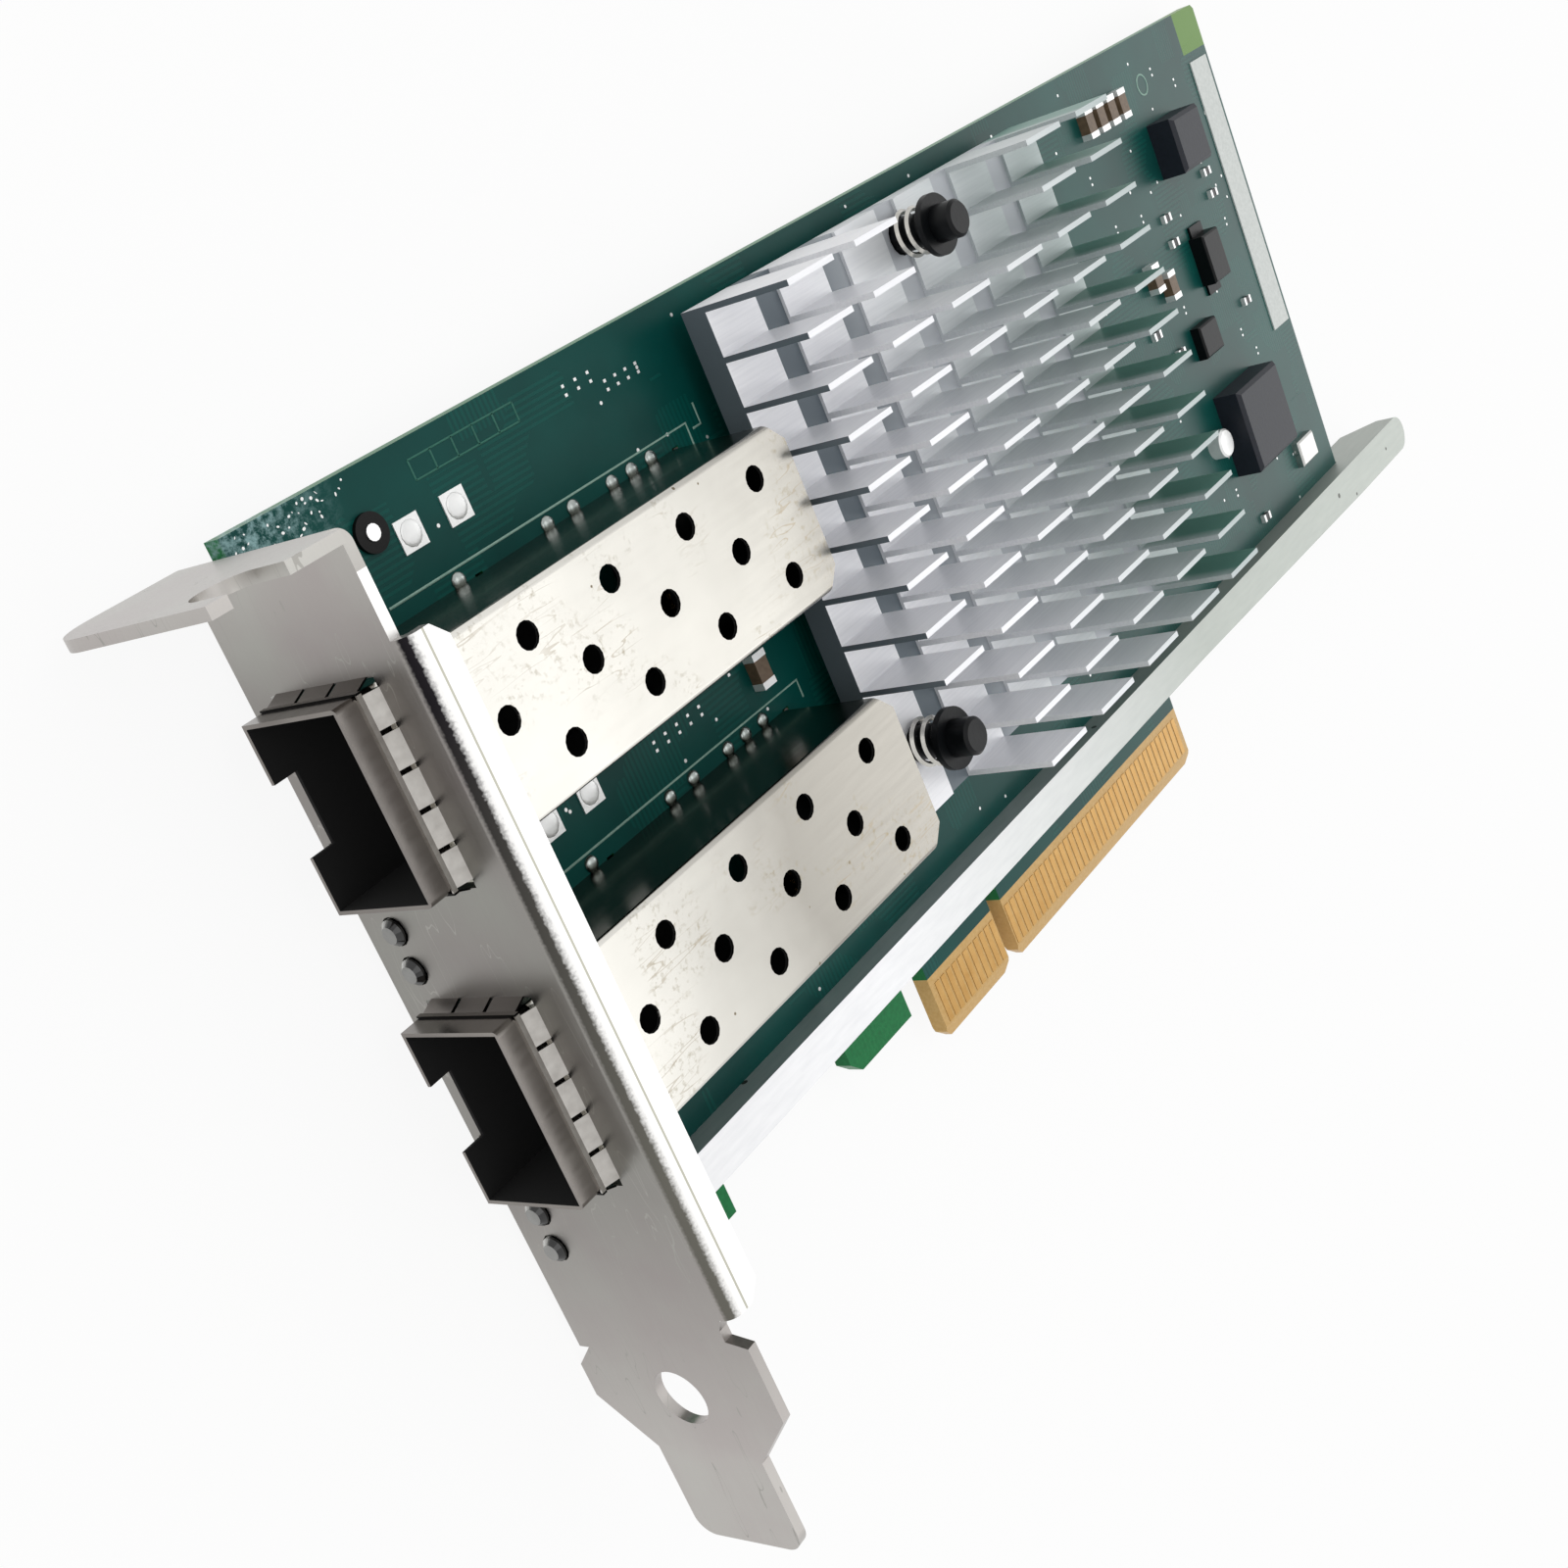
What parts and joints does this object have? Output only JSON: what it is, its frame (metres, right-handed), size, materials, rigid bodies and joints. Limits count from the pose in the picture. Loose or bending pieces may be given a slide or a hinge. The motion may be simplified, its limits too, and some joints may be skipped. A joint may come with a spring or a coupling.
{
  "type": "network interface card",
  "caption": "Dual-port network card for an eight-lane expansion slot, with a low-profile bracket, transceiver cages, a cross-cut heat sink and a stiffener rail.",
  "frame": {"origin": "centre of the contact edge's key notch, at the bottom of the contacts, in the middle of the board's thickness", "axes": "+X from the bracket to the rear of the board, +Y from the contact edge to the board's top edge, +Z out of the component side"},
  "size_m": [0.1791, 0.081, 0.0184],
  "materials": {
    "solder_mask": "green solder mask over glass-fibre board, satin",
    "gold_plate": "gold plated",
    "bracket_steel": "nickel-plated folded sheet, satin",
    "rail_aluminium": "extruded, satin",
    "cage_steel": "bright nickel-plated sheet",
    "spring_steel": "bright spring steel",
    "black_plastic": "moulded, fine satin",
    "clear_lens": "clear moulded lens",
    "led_body": "pale resin",
    "sink_aluminium": "extruded and cross-cut, clear finish",
    "rivet_steel": "bright plated",
    "rivet_black": "blackened rivet",
    "tin_solder": "tinned",
    "ferrite": "moulded ferrite, matt",
    "capacitor_ceramic": "fired ceramic with tinned ends",
    "resistor_ceramic": "printed film on ceramic",
    "label_film": "bare printed label stock",
    "pad_rubber": "soft thermal pad"
  },
  "bodies": {
    "root": {"circuit_board": "solder_mask", "edge_contacts_front": "gold_plate", "edge_contacts_back": "gold_plate", "bracket": "bracket_steel", "stiffener_rail": "rail_aluminium", "upper_cage": "cage_steel", "lower_cage": "cage_steel", "upper_spring_collar": "spring_steel", "lower_spring_collar": "spring_steel", "upper_port_connector": "black_plastic", "lower_port_connector": "black_plastic", "upper_port_contacts": "gold_plate", "lower_port_contacts": "gold_plate", "upper_light_pipe": "clear_lens", "lower_light_pipe": "clear_lens", "status_leds": "led_body", "heat_sink": "sink_aluminium", "upper_push_pin": "black_plastic", "lower_push_pin": "black_plastic", "upper_pin_spring": "spring_steel", "lower_pin_spring": "spring_steel", "ear_rivet": "rivet_black", "rivet_stem": "rivet_steel", "rail_rivet": "rivet_steel", "rail_screws": "rivet_steel", "solder_pads": "tin_solder", "power_inductor": "ferrite", "phase_inductor": "ferrite", "clamp_diode": "black_plastic", "round_capacitor": "tin_solder", "ceramic_capacitors": "capacitor_ceramic", "chip_resistors": "resistor_ceramic", "memory_chip": "black_plastic", "crystal_can": "rivet_steel", "label_strip": "label_film", "controller_chip": "black_plastic", "thermal_pad": "pad_rubber"}
  },
  "joints": []
}
